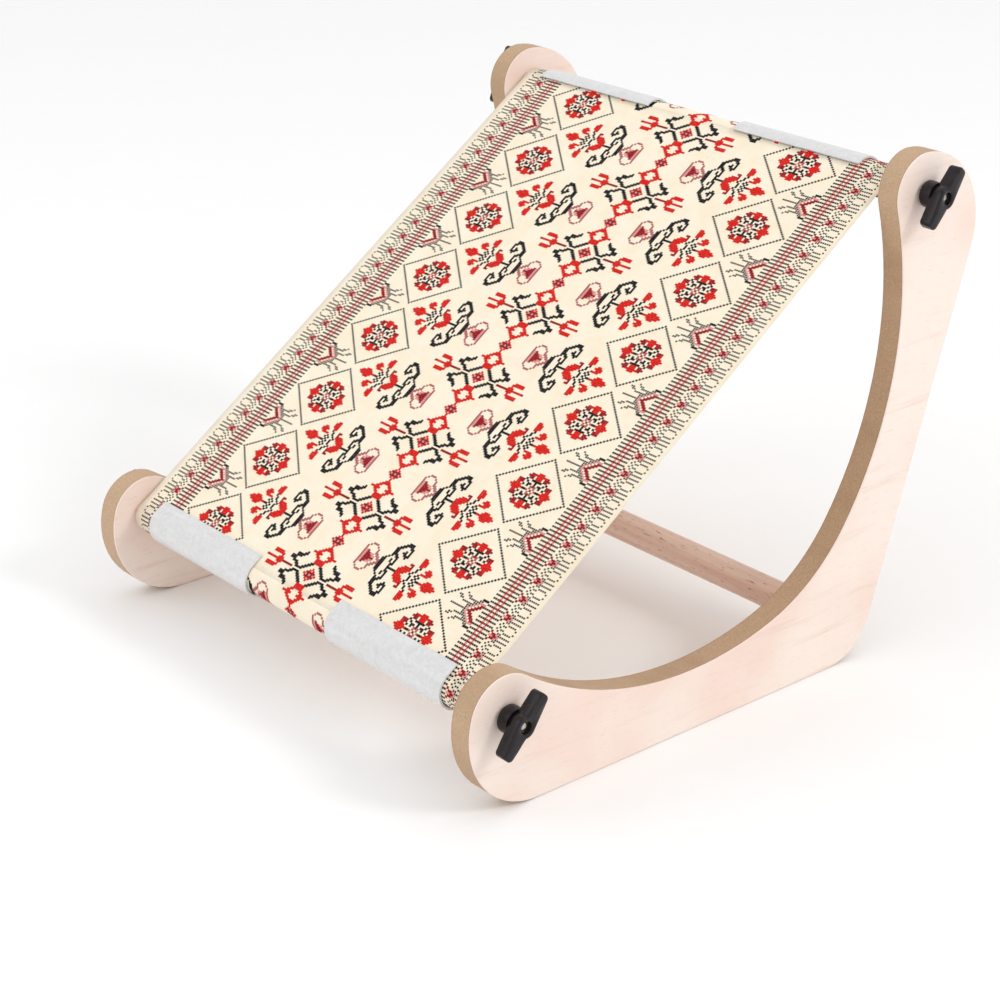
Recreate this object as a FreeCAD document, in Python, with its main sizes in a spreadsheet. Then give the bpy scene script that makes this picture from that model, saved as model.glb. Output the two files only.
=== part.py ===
"""Table-top scroll frame for embroidery: two boomerang side boards, a round stretcher low at
the back, and two rollers that carry the cloth. Four wing knobs lock the rollers and four snap
clips hold the cloth on them.

Millimetres. X runs along the rollers, Y from the low front roller to the high back one, Z up.
The origin is on the table, under the middle of the frame.
"""
import FreeCAD, Part
import math
import os

import Sketcher

os.makedirs("parts", exist_ok=True)
doc = FreeCAD.newDocument("scroll_frame")
V = FreeCAD.Vector
X_AXIS = V(1, 0, 0)

# ---------------------------------------------------------------- driving dimensions
DIMENSIONS = {
    # side boards: a boomerang outline, mirrored about the line that halves its heel
    "board_thick": 18.0,
    "inner_width": 384.0,  # between the boards' inner faces
    "corner_angle": 108.5,  # between the foot edge and the back edge, degrees
    "arm_length": 300.0,  # from the heel's sharp corner to each end's big arc
    "end_radius": 58.0,  # big arc at each end
    "nose_radius": 28.0,  # small arc round each roller hole
    "hole_angle": 163.5,  # direction of the front hole from the big arc's centre, degrees
    "arm_arc": 254.0,  # inside edge along each arm
    "middle_arc": 135.0,  # inside edge at the heel
    "heel_radius": 42.0,
    "heel_depth": 92.0,  # from the sharp corner to the inside edge
    "board_chamfer": 0.6,
    "stud_bore": 6.1,  # diameter of the board's roller holes
    # stretcher, doweled between the boards
    "stretcher_dia": 22.0,
    "stretcher_back": 260.0,  # behind the front arc's centre
    "stretcher_high": 42.6,  # above the table
    "pin_dia": 8.0,
    "pin_in_board": 12.0,
    "pin_in_rail": 22.0,
    # rollers and the cloth on them
    "roller_dia": 22.0,
    "roller_gap": 0.3,  # from each end to the board
    "cloth_width": 376.0,
    "roll_dia": 25.0,  # roller with its cloth
    "panel_thick": 0.6,
    "panel_inset": 9.0,  # from each roller's axis to the stretched panel's end
    # hanger bolts, washers and wing knobs
    "stud_dia": 6.0,
    "stud_in_roller": 25.0,
    "stud_out": 15.6,  # past the board's outer face
    "stud_point": 0.8,
    "washer_dia": 12.0,
    "washer_bore": 6.2,
    "washer_thick": 1.6,
    "washer_gap": 0.3,
    "knob_gap": 0.1,
    "knob_height": 17.5,
    "foot_radius": 9.0,  # round foot between the board and the wings
    "hub_radius": 7.8,  # round middle between the wings
    "wing_start": 8.5,  # from the foot's base to the wings
    "wing_reach": 23.4,
    "wing_tip": 4.0,  # half the wing's width at its tip
    "wing_shift": 0.9,  # of each tip, towards the side where the wing leaves the hub square
    "wing_corner": 2.6,
    "wing_meet": 42.0,  # where each wing's square edge meets the hub, degrees
    "knob_chamfer": 0.8,
    "insert_dia": 8.4,
    "insert_bore": 6.1,
    "insert_length": 13.5,
    # snap clips
    "clip_bore": 25.2,
    "clip_wall": 2.0,
    "clip_length": 120.0,
    "clip_arc": 205.0,  # degrees of the circle that the clip covers
    "clip_lip": 10.3,  # straight lip at one end, that a finger lifts
    "clip_lip_thick": 0.9,
    "rear_lip_angle": -74.0,  # where the rear clips' lips begin, degrees
}
sheet = doc.addObject("Spreadsheet::Sheet", "Sheet")
for row, (alias, value) in enumerate(DIMENSIONS.items(), start=1):
    sheet.set(f"A{row}", alias)
    sheet.set(f"B{row}", str(value))
    sheet.setAlias(f"B{row}", alias)
doc.recompute()

# Places worked out from the sheet. Angles are in degrees.
LEAN = "(180 - Sheet.corner_angle)"
REAR_ARC_Y = f"(Sheet.arm_length * (1 + cos({LEAN})) - Sheet.end_radius * sin({LEAN}))"
REAR_ARC_Z = f"(Sheet.arm_length * sin({LEAN}) + Sheet.end_radius * cos({LEAN}))"
MIDDLE_Y = f"({REAR_ARC_Y} / 2)"
HOLE_REACH = "(Sheet.end_radius - Sheet.nose_radius)"
REAR_HOLE_ANGLE = "(360 - Sheet.corner_angle - Sheet.hole_angle)"
FRONT = (
    f"({HOLE_REACH} * cos(Sheet.hole_angle) - {MIDDLE_Y})",
    f"(Sheet.end_radius + {HOLE_REACH} * sin(Sheet.hole_angle))",
)
REAR = (
    f"({REAR_ARC_Y} + {HOLE_REACH} * cos({REAR_HOLE_ANGLE}) - {MIDDLE_Y})",
    f"({REAR_ARC_Z} + {HOLE_REACH} * sin({REAR_HOLE_ANGLE}))",
)
ROLLERS = {"front": FRONT, "rear": REAR}
SIDES = {"left": -1, "right": 1}
SLOPE = "(90 - Sheet.corner_angle / 2)"  # of the cloth, above the table
BOARD_IN = "(Sheet.inner_width / 2)"
BOARD_OUT = "(Sheet.inner_width / 2 + Sheet.board_thick)"

# Where each clip sits: its middle along the roller, and the angle where its lip begins. The
# front clips' lips lie on the cloth, and the rear clips' lips point forward under the roller.
CLIPS = {
    "clip_front_left": ("front", -107.5, f"(90 + {SLOPE})"),
    "clip_front_right": ("front", 103.0, f"(90 + {SLOPE})"),
    "clip_rear_left": ("rear", -110.5, "Sheet.rear_lip_angle"),
    "clip_rear_right": ("rear", 98.0, "Sheet.rear_lip_angle"),
}
# Direction in which each knob's wings point, seen from its own side, degrees.
WINGS = {
    ("front", "right"): 46.0,
    ("rear", "right"): 48.0,
    ("front", "left"): 50.0,
    ("rear", "left"): 70.0,
}

products = []


def size(alias):
    return float(getattr(sheet, alias))


def bind(obj, **expressions):
    """Ties properties to the sheet. A double underscore stands for a dot."""
    for path, text in expressions.items():
        obj.setExpression(path.replace("__", "."), text)
    return obj


def at(obj, x="0", y="0", z="0"):
    """Places an object by expressions, keeping its rotation."""
    bind(obj, Placement__Base__x=x, Placement__Base__y=y, Placement__Base__z=z)
    return obj


def keep(obj, label):
    """Names a finished sub-part."""
    obj.Label = label
    products.append(obj)
    return obj


def rod(name, diameter, length, x, y, z):
    """Cylinder along +X from the point (x, y, z); all arguments are expressions."""
    cylinder = doc.addObject("Part::Cylinder", name)
    cylinder.Placement = FreeCAD.Placement(V(0, 0, 0), FreeCAD.Rotation(V(0, 1, 0), 90))
    bind(cylinder, Radius=f"({diameter}) / 2", Height=length)
    return at(cylinder, x, y, z)


def cut(name, base, *tools):
    """The base solid less the tools."""
    tool = tools[0]
    if len(tools) > 1:
        tool = doc.addObject("Part::MultiFuse", name + "_tools")
        tool.Shapes = list(tools)
    result = doc.addObject("Part::Cut", name + "_cut")
    result.Base, result.Tool = base, tool
    return result


def body_with_sketch(name, offset="0"):
    """New body and a sketch in its YZ plane, which lies at the offset along X."""
    body = doc.addObject("PartDesign::Body", name + "_body")
    return body, sketch_in(body, name + "_outline", offset)


def sketch_in(body, name, offset="0"):
    sketch = body.newObject("Sketcher::SketchObject", name)
    plane = [f for f in body.Origin.OriginFeatures if f.Role == "YZ_Plane"][0]
    sketch.AttachmentSupport = [(plane, "")]
    sketch.MapMode = "FlatFace"
    bind(sketch, AttachmentOffset__Base__z=offset)
    return sketch


def pad(body, sketch, name, length):
    feature = body.newObject("PartDesign::Pad", name)
    feature.Profile = sketch
    bind(feature, Length=length)
    return feature


def arc(centre, radius, start, end):
    """Arc drawn anticlockwise from start to end, both in radians."""
    circle = Part.Circle(V(*centre, 0), V(0, 0, 1), radius)
    return Part.ArcOfCircle(circle, start, end)


def direction(start, end):
    return math.atan2(end[1] - start[1], end[0] - start[0]) % math.tau


# ---------------------------------------------------------------- side boards
def board_points():
    """First places of the outline's centres, which the sketch's constraints then hold."""
    corner = math.radians(size("corner_angle"))
    reach = size("end_radius") - size("nose_radius")
    hole_angle = math.radians(size("hole_angle"))
    heel = (size("arm_length"), -size("end_radius"))
    halving = math.pi - corner / 2

    def along(distance):
        return (
            heel[0] + distance * math.cos(halving),
            heel[1] + distance * math.sin(halving),
        )

    def mirrored(point):
        dy, dz = point[0] - heel[0], point[1] - heel[1]
        part = dy * math.cos(halving) + dz * math.sin(halving)
        foot = along(part)
        return (2 * foot[0] - point[0], 2 * foot[1] - point[1])

    hole = (reach * math.cos(hole_angle), reach * math.sin(hole_angle))
    middle = along(size("heel_depth") + size("middle_arc"))
    # The arm arc touches the nose arc from outside and the middle arc from inside.
    to_hole = size("arm_arc") + size("nose_radius")
    to_middle = size("arm_arc") - size("middle_arc")
    gap = math.dist(hole, middle)
    along_gap = (to_hole**2 - to_middle**2 + gap**2) / (2 * gap)
    off_gap = math.sqrt(to_hole**2 - along_gap**2)
    u = ((middle[0] - hole[0]) / gap, (middle[1] - hole[1]) / gap)
    arm = (
        hole[0] + along_gap * u[0] - off_gap * u[1],
        hole[1] + along_gap * u[1] + off_gap * u[0],
    )
    return hole, middle, arm, along(size("heel_radius") / math.sin(corner / 2)), mirrored


def board_outline(sketch):
    """Foot edge, end arc, nose, three inside arcs, nose, end arc, back edge and heel."""
    hole, middle, arm, heel, mirrored = board_points()
    rear_arc, rear_hole, rear_arm = mirrored((0, 0)), mirrored(hole), mirrored(arm)
    end_r, nose_r, heel_r = size("end_radius"), size("nose_radius"), size("heel_radius")
    corner = math.radians(size("corner_angle"))
    back = math.pi / 2 - corner  # outward direction of the back edge
    down = 1.5 * math.pi

    def on(centre, radius, angle):
        return V(centre[0] + radius * math.cos(angle), centre[1] + radius * math.sin(angle), 0)

    foot = Part.LineSegment(on(heel, heel_r, down), on((0, 0), end_r, down))
    spine = Part.LineSegment(on(rear_arc, end_r, back), on(heel, heel_r, back))
    pieces = [
        foot,
        arc((0, 0), end_r, direction((0, 0), hole), down),
        arc(hole, nose_r, direction(hole, arm), direction((0, 0), hole)),
        arc(arm, size("arm_arc"), direction(arm, hole), direction(arm, middle)),
        arc(middle, size("middle_arc"), direction(arm, middle), direction(rear_arm, middle)),
        arc(rear_arm, size("arm_arc"), direction(rear_arm, middle), direction(rear_arm, rear_hole)),
        arc(rear_hole, nose_r, direction(rear_arc, rear_hole), direction(rear_hole, rear_arm)),
        arc(rear_arc, end_r, back, direction(rear_arc, rear_hole)),
        spine,
        arc(heel, heel_r, down, back + math.tau),
    ]
    sketch.addGeometry(pieces, False)
    halving = sketch.addGeometry(Part.LineSegment(V(*heel, 0), V(*middle, 0)), True)
    start, end, centre = 1, 2, 3
    joins = [
        (0, end, 1, end),
        (1, start, 2, end),
        (2, start, 3, start),
        (3, end, 4, start),
        (4, end, 5, start),
        (5, end, 6, end),
        (6, start, 7, end),
        (7, start, 8, start),
        (8, end, 9, end),
        (9, start, 0, start),
    ]
    for first, first_end, second, second_end in joins:
        sketch.addConstraint(Sketcher.Constraint("Tangent", first, first_end, second, second_end))
    sketch.addConstraint(Sketcher.Constraint("Coincident", 1, centre, -1, 1))
    sketch.addConstraint(Sketcher.Constraint("Horizontal", 0))
    sketch.addConstraint(Sketcher.Constraint("Coincident", halving, start, 9, centre))
    sketch.addConstraint(Sketcher.Constraint("Coincident", halving, end, 4, centre))
    for front_piece, rear_piece in ((1, 7), (2, 6), (3, 5)):
        same = Sketcher.Constraint("Symmetric", front_piece, centre, rear_piece, centre, halving)
        sketch.addConstraint(same)

    def driven(name, constraint, expression):
        index = sketch.addConstraint(constraint)
        sketch.renameConstraint(index, name)
        sketch.setExpression(f"Constraints.{name}", expression)

    radii = {"end_radius": 1, "nose_radius": 2, "arm_arc": 3, "middle_arc": 4, "heel_radius": 9}
    for name, piece in radii.items():
        driven(name, Sketcher.Constraint("Radius", piece, size(name)), f"Sheet.{name}")
    half = corner / 2
    driven(
        "heel_back",
        Sketcher.Constraint("DistanceX", -1, 1, 9, centre, heel[0]),
        "Sheet.arm_length - Sheet.heel_radius / tan(Sheet.corner_angle / 2)",
    )
    driven(
        "hole_up",
        Sketcher.Constraint("DistanceY", -1, 1, 2, centre, hole[1]),
        f"{HOLE_REACH} * sin(Sheet.hole_angle)",
    )
    driven(
        "middle_reach",
        Sketcher.Constraint("Distance", 9, centre, 4, centre, math.dist(heel, middle)),
        "Sheet.middle_arc + Sheet.heel_depth - Sheet.heel_radius / sin(Sheet.corner_angle / 2)",
    )
    driven(
        "halving_angle",
        Sketcher.Constraint("Angle", halving, math.pi - half),
        "(180 - Sheet.corner_angle / 2) * 1deg",
    )


def side_board(side, sign):
    """One side board, with its two roller holes and a blind hole for the stretcher's pin."""
    label = f"side_board_{side}"
    body, sketch = body_with_sketch(label)
    board_outline(sketch)
    solid = pad(body, sketch, label + "_pad", "Sheet.board_thick")
    doc.recompute()
    chamfer = body.newObject("PartDesign::Chamfer", label + "_chamfer")
    faces = [
        f"Face{number}"
        for number, face in enumerate(solid.Shape.Faces, start=1)
        if abs(face.normalAt(0, 0).x) > 0.99
    ]
    chamfer.Base = (solid, faces)
    bind(chamfer, Size="Sheet.board_chamfer")
    at(body, BOARD_IN if sign > 0 else f"-{BOARD_OUT}", f"-{MIDDLE_Y}", "Sheet.end_radius")
    start = BOARD_IN if sign > 0 else f"-{BOARD_OUT}"
    tools = [
        rod(f"{label}_{which}_bore", "Sheet.stud_bore", "Sheet.board_thick", start, y, z)
        for which, (y, z) in ROLLERS.items()
    ]
    pin_start = BOARD_IN if sign > 0 else f"-({BOARD_IN} + Sheet.pin_in_board)"
    tools.append(
        rod(label + "_pin_hole", "Sheet.pin_dia", "Sheet.pin_in_board", pin_start, *STRETCHER)
    )
    keep(cut(label, body, *tools), label)


# ---------------------------------------------------------------- stretcher
STRETCHER = (f"(Sheet.stretcher_back - {MIDDLE_Y})", "Sheet.stretcher_high")


def stretcher():
    """Round rail between the boards, on two glued dowel pins."""
    rail = rod("rail", "Sheet.stretcher_dia", "Sheet.inner_width", f"-{BOARD_IN}", *STRETCHER)
    pin_starts = {
        "left": (f"-{BOARD_IN}", f"-({BOARD_IN} + Sheet.pin_in_board)"),
        "right": (f"({BOARD_IN} - Sheet.pin_in_rail)", f"({BOARD_IN} - Sheet.pin_in_rail)"),
    }
    tools = []
    for side, (hole_start, pin_start) in pin_starts.items():
        tools.append(
            rod(f"rail_{side}_hole", "Sheet.pin_dia", "Sheet.pin_in_rail", hole_start, *STRETCHER)
        )
        length = "Sheet.pin_in_board + Sheet.pin_in_rail"
        pin = rod(f"pin_{side}", "Sheet.pin_dia", length, pin_start, *STRETCHER)
        keep(pin, f"stretcher_pin_{side}")
    keep(cut("stretcher", rail, *tools), "stretcher")


# ---------------------------------------------------------------- rollers, studs and cloth
def roller(which, y, z):
    """Roller with a stud screwed into each end, and the cloth wound on it."""
    length = "(Sheet.inner_width - 2 * Sheet.roller_gap)"
    wood = rod(f"roller_{which}_wood", "Sheet.roller_dia", length, f"-{length} / 2", y, z)
    bores = []
    for side, sign in SIDES.items():
        start = f"({length} / 2 - Sheet.stud_in_roller)" if sign > 0 else f"-{length} / 2"
        bores.append(
            rod(f"roller_{which}_{side}_bore", "Sheet.stud_dia", "Sheet.stud_in_roller", start, y, z)
        )
        stud(which, side, sign, y, z)
    keep(cut(f"roller_{which}", wood, *bores), f"roller_{which}")
    start = "-Sheet.cloth_width / 2"
    outer = rod(f"roll_{which}_outer", "Sheet.roll_dia", "Sheet.cloth_width", start, y, z)
    inner = rod(f"roll_{which}_inner", "Sheet.roller_dia", "Sheet.cloth_width", start, y, z)
    keep(cut(f"cloth_roll_{which}", outer, inner), f"cloth_roll_{which}")


def stud(which, side, sign, y, z):
    """Hanger bolt from the roller through the board into the knob, with a bevelled end."""
    name = f"stud_{which}_{side}"
    straight = "(Sheet.stud_in_roller + Sheet.roller_gap + Sheet.board_thick + Sheet.stud_out)"
    inner_end = f"({BOARD_IN} - Sheet.roller_gap - Sheet.stud_in_roller)"
    start = inner_end if sign > 0 else f"-({inner_end} + {straight})"
    shank = rod(name + "_shank", "Sheet.stud_dia", straight, start, y, z)
    point = doc.addObject("Part::Cone", name + "_point")
    point.Placement = FreeCAD.Placement(V(0, 0, 0), FreeCAD.Rotation(V(0, 1, 0), 90 * sign))
    bind(
        point,
        Radius1="Sheet.stud_dia / 2",
        Radius2="Sheet.stud_dia / 2 - Sheet.stud_point",
        Height="Sheet.stud_point",
    )
    at(point, f"{sign} * ({inner_end} + {straight})", y, z)
    whole = doc.addObject("Part::MultiFuse", name + "_fuse")
    whole.Shapes = [shank, point]
    keep(whole, name)


def cloth_panel():
    """The stretched cloth between the rollers, tangent to the tops of both cloth rolls."""
    panel = doc.addObject("Part::Box", "panel")
    panel.Placement = FreeCAD.Placement(V(0, 0, 0), FreeCAD.Rotation(X_AXIS, 0))
    spacing = f"sqrt(pow({REAR[0]} - {FRONT[0]}; 2) + pow({REAR[1]} - {FRONT[1]}; 2))"
    bind(
        panel,
        Length="Sheet.cloth_width",
        Width=f"{spacing} - 2 * Sheet.panel_inset",
        Height="Sheet.panel_thick",
        Placement__Rotation__Angle=SLOPE,
    )
    low = "(Sheet.roll_dia / 2 - Sheet.panel_thick)"
    at(
        panel,
        "-Sheet.cloth_width / 2",
        f"{FRONT[0]} + Sheet.panel_inset * cos({SLOPE}) - {low} * sin({SLOPE})",
        f"{FRONT[1]} + Sheet.panel_inset * sin({SLOPE}) + {low} * cos({SLOPE})",
    )
    keep(panel, "cloth_panel")


# ---------------------------------------------------------------- washers and wing knobs
def washer(which, side, sign, y, z):
    name = f"washer_{which}_{side}"
    near = f"({BOARD_OUT} + Sheet.washer_gap)"
    start = near if sign > 0 else f"-({near} + Sheet.washer_thick)"
    disc = rod(name + "_disc", "Sheet.washer_dia", "Sheet.washer_thick", start, y, z)
    hole = rod(name + "_hole", "Sheet.washer_bore", "Sheet.washer_thick", start, y, z)
    keep(cut(name, disc, hole), name)


def wing_outline(sketch):
    """Hub and two wings. One edge of each wing is tangent to the hub, the other meets it square."""
    hub, reach, corner = size("hub_radius"), size("wing_reach"), size("wing_corner")
    low = size("wing_shift") - size("wing_tip")
    high = size("wing_shift") + size("wing_tip")
    inset = corner * (1 - math.sqrt(0.5))
    last = (reach - corner, low)
    touch = math.atan2(last[1], last[0]) - math.acos(hub / math.hypot(*last))
    meet = math.radians(size("wing_meet"))
    wing = [
        ("arc", V(reach - corner, low, 0), V(reach - inset, low + inset, 0)),
        ("line", V(reach, low + corner, 0), None),
        ("arc", V(reach, high - corner, 0), V(reach - inset, high - inset, 0)),
        ("line", V(reach - corner, high, 0), None),
        ("arc", V(hub * math.cos(meet), hub * math.sin(meet), 0), V(0, hub, 0)),
        ("line", V(-hub * math.cos(touch), -hub * math.sin(touch), 0), None),
    ]
    outline = wing + [
        (kind, V(-start.x, -start.y, 0), middle and V(-middle.x, -middle.y, 0))
        for kind, start, middle in wing
    ]
    edges = []
    for index, (kind, start, middle) in enumerate(outline):
        following = outline[(index + 1) % len(outline)][1]
        if kind == "arc":
            edges.append(Part.Arc(start, middle, following))
        else:
            edges.append(Part.LineSegment(start, following))
    sketch.addGeometry(edges, False)
    for index in range(len(edges)):
        sketch.addConstraint(Sketcher.Constraint("Block", index))
    return sketch


def wing_knob(which, side, sign, y, z):
    """Wing knob: round foot, hub with two wings, and a hole that holds the threaded insert."""
    name = f"knob_{which}_{side}"
    body, bar = body_with_sketch(name, "Sheet.wing_start")
    wings = pad(body, wing_outline(bar), name + "_wings", "Sheet.knob_height - Sheet.wing_start")
    doc.recompute()
    bevel = body.newObject("PartDesign::Chamfer", name + "_bevel")
    top = [
        f"Face{number}"
        for number, face in enumerate(wings.Shape.Faces, start=1)
        if face.normalAt(0, 0).x > 0.99
    ]
    bevel.Base = (wings, top)
    bind(bevel, Size="Sheet.knob_chamfer")
    disc = sketch_in(body, name + "_disc")
    disc.addGeometry(Part.Circle(V(0, 0, 0), V(0, 0, 1), size("foot_radius")), False)
    disc.addConstraint(Sketcher.Constraint("Coincident", 0, 3, -1, 1))
    index = disc.addConstraint(Sketcher.Constraint("Radius", 0, size("foot_radius")))
    disc.setExpression(f"Constraints[{index}]", "Sheet.foot_radius")
    pad(body, disc, name + "_foot", "Sheet.wing_start")
    base = f"({BOARD_OUT} + Sheet.washer_gap + Sheet.washer_thick + Sheet.knob_gap)"
    turn = FreeCAD.Rotation(X_AXIS, WINGS[which, side])
    if sign < 0:
        turn = turn * FreeCAD.Rotation(V(0, 0, 1), 180)
    body.Placement = FreeCAD.Placement(V(0, 0, 0), turn)
    at(body, f"{sign} * {base}", y, z)
    start = base if sign > 0 else f"-({base} + Sheet.knob_height)"
    hole = rod(name + "_hole", "Sheet.insert_dia", "Sheet.knob_height", start, y, z)
    keep(cut(name, body, hole), name)
    insert_start = base if sign > 0 else f"-({base} + Sheet.insert_length)"
    bush = rod(name + "_bush", "Sheet.insert_dia", "Sheet.insert_length", insert_start, y, z)
    thread = rod(name + "_thread", "Sheet.insert_bore", "Sheet.insert_length", insert_start, y, z)
    keep(cut(name + "_insert", bush, thread), f"insert_{which}_{side}")


# ---------------------------------------------------------------- snap clips
def clip(label, which, middle, lip_angle):
    """C-shaped clip over the cloth on a roller, with a straight tapered lip at one end."""
    body, sketch = body_with_sketch(label)
    inner, wall = size("clip_bore") / 2, size("clip_wall")
    sweep, lip = math.radians(size("clip_arc")), size("clip_lip")
    far_inner, far_outer = (
        V(r * math.cos(sweep), r * math.sin(sweep), 0) for r in (inner, inner + wall)
    )
    tip = inner + size("clip_lip_thick")
    sketch.addGeometry(
        [
            arc((0, 0), inner, 0, sweep),
            arc((0, 0), inner + wall, 0, sweep),
            Part.LineSegment(far_inner, far_outer),
            Part.LineSegment(V(inner, 0, 0), V(inner, -lip, 0)),
            Part.LineSegment(V(inner, -lip, 0), V(tip, -lip, 0)),
            Part.LineSegment(V(tip, -lip, 0), V(inner + wall, 0, 0)),
        ],
        False,
    )
    start, end, centre = 1, 2, 3
    joins = [
        (0, end, 2, start),
        (1, end, 2, end),
        (0, start, 3, start),
        (3, end, 4, start),
        (4, end, 5, start),
        (5, end, 1, start),
    ]
    for first, first_end, second, second_end in joins:
        join = Sketcher.Constraint("Coincident", first, first_end, second, second_end)
        sketch.addConstraint(join)
    for piece in (0, 1):
        sketch.addConstraint(Sketcher.Constraint("Coincident", piece, centre, -1, 1))
        sketch.addConstraint(Sketcher.Constraint("PointOnObject", piece, start, -1))
    sketch.addConstraint(Sketcher.Constraint("PointOnObject", -1, 1, 2))
    sketch.addConstraint(Sketcher.Constraint("Vertical", 3))
    sketch.addConstraint(Sketcher.Constraint("Horizontal", 4))
    for name, constraint, expression in (
        ("bore", Sketcher.Constraint("Radius", 0, inner), "Sheet.clip_bore / 2"),
        (
            "outside",
            Sketcher.Constraint("Radius", 1, inner + wall),
            "Sheet.clip_bore / 2 + Sheet.clip_wall",
        ),
        ("lip", Sketcher.Constraint("DistanceY", 4, start, 0, start, lip), "Sheet.clip_lip"),
        ("lip_thick", Sketcher.Constraint("Distance", 4, tip - inner), "Sheet.clip_lip_thick"),
        (
            "far_end",
            Sketcher.Constraint("DistanceX", 2, start, -1, 1, -far_inner.x),
            "-Sheet.clip_bore / 2 * cos(Sheet.clip_arc)",
        ),
    ):
        index = sketch.addConstraint(constraint)
        sketch.renameConstraint(index, name)
        sketch.setExpression(f"Constraints.{name}", expression)
    pad(body, sketch, label + "_pad", "Sheet.clip_length")
    body.Placement = FreeCAD.Placement(V(0, 0, 0), FreeCAD.Rotation(X_AXIS, 0))
    bind(body, Placement__Rotation__Angle=lip_angle)
    y, z = ROLLERS[which]
    at(body, f"{middle} - Sheet.clip_length / 2", y, z)
    keep(body, label)


# ---------------------------------------------------------------- the whole frame
for side_name, side_sign in SIDES.items():
    side_board(side_name, side_sign)
stretcher()
for roller_name, (roller_y, roller_z) in ROLLERS.items():
    roller(roller_name, roller_y, roller_z)
    for side_name, side_sign in SIDES.items():
        washer(roller_name, side_name, side_sign, roller_y, roller_z)
        wing_knob(roller_name, side_name, side_sign, roller_y, roller_z)
cloth_panel()
for clip_label, (clip_roller, clip_middle, clip_lip) in CLIPS.items():
    clip(clip_label, clip_roller, clip_middle, clip_lip)

doc.recompute()
for obj in doc.Objects:
    if "Invalid" in obj.State or "Error" in obj.State:
        raise RuntimeError(f"{obj.Name} failed: {obj.State}")
for product in products:
    shape = product.Shape
    if shape.isNull() or not shape.isValid() or shape.Volume <= 0:
        raise RuntimeError(f"{product.Label} has no valid solid")
    shape.exportStep(f"parts/{product.Label}.step")
    print(f"{product.Label}: {shape.Volume:.1f} mm3, {len(shape.Solids)} solid")
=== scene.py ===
# %% [markdown]
# # A table-top scroll frame for embroidery
# The frame stands on two boomerang boards joined by a round stretcher. Two rollers hold a
# cross-stitched cloth tight between them, wing knobs lock the rollers, and white snap clips
# grip the cloth. The CAD model already gives each piece its place. This notebook loads it,
# makes the soft and moulded pieces in finer detail, and gives every surface its finish.

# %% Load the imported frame
import math

import bmesh
import bpy
from mathutils import Matrix, Vector


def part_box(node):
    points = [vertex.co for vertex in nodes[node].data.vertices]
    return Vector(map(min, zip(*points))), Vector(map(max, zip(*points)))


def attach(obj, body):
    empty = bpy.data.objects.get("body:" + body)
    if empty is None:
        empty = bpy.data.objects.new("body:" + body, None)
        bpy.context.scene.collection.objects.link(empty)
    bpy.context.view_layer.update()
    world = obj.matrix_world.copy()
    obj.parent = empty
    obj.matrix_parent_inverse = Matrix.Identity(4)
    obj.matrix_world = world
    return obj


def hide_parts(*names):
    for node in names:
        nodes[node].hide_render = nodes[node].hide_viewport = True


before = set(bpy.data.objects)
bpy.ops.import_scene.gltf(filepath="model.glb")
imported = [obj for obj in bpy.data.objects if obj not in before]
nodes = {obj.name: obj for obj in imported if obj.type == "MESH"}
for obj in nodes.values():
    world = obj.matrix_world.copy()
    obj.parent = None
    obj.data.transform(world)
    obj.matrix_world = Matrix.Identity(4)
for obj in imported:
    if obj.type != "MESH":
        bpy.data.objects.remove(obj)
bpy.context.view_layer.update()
MM = 0.001

# %% [markdown]
# Every place comes from the CAD model. The rollers' axes give the cloth's slope: the stretched
# part runs straight from the top of the low roller to the top of the high one.

# %% Measure the rollers


def middle_of(node):
    """Centre of a CAD node's box."""
    low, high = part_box(node)
    return (low + high) / 2


AXIS = {"front": middle_of("roller_front"), "rear": middle_of("roller_rear")}
REACH = AXIS["rear"] - AXIS["front"]
SLOPE = math.atan2(REACH.z, REACH.y)
SPAN = REACH.length
CLOTH_LOW, CLOTH_HIGH = (corner.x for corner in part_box("cloth_panel"))
ROLL_RADIUS = (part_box("cloth_roll_front")[1].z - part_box("cloth_roll_front")[0].z) / 2
print(f"slope {math.degrees(SLOPE):.2f} degrees, span {SPAN / MM:.1f} mm")

# %% [markdown]
# ## Shader arithmetic
# A material is a graph of nodes. Long graphs are easier to read as formulas, so a small class
# wraps a socket and overloads Python's operators: each + or * adds one Math node.

# %% A socket that does arithmetic


class Socket:
    """One output socket. Arithmetic on it adds Math nodes to its tree."""

    def __init__(self, tree, link):
        self.tree, self.link = tree, link

    def calc(self, operation, *values):
        inputs = dict(enumerate(values))
        return self.tree.node("ShaderNodeMath", {"operation": operation}, inputs)

    def __add__(self, other):
        return self.calc("ADD", self, other)

    def __sub__(self, other):
        return self.calc("SUBTRACT", self, other)

    def __rsub__(self, other):
        return self.calc("SUBTRACT", other, self)

    def __mul__(self, other):
        return self.calc("MULTIPLY", self, other)

    def __abs__(self):
        return self.calc("ABSOLUTE", self)

    def __gt__(self, other):
        return self.calc("GREATER_THAN", self, other)

    __radd__, __rmul__ = __add__, __mul__

    def sine(self):
        return self.calc("SINE", self)

    def root(self):
        return self.calc("SQRT", self)

    def ramp(self, low, high):
        """0 below low, 1 above high, and a smooth change between them."""
        settings = {"interpolation_type": "SMOOTHSTEP"}
        return self.tree.node("ShaderNodeMapRange", settings, {0: self, 1: low, 2: high})

    def other(self, name):
        """Another output of the same node."""
        return Socket(self.tree, self.link.node.outputs[name])


# %% [markdown]
# A second class wraps the node tree, and its one method makes every node. Materials are a kind
# of tree that ends in a Principled surface. Settings that never change go straight on its
# sockets, and only what varies over a surface is linked.

# %% A node tree with one node-making method


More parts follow.
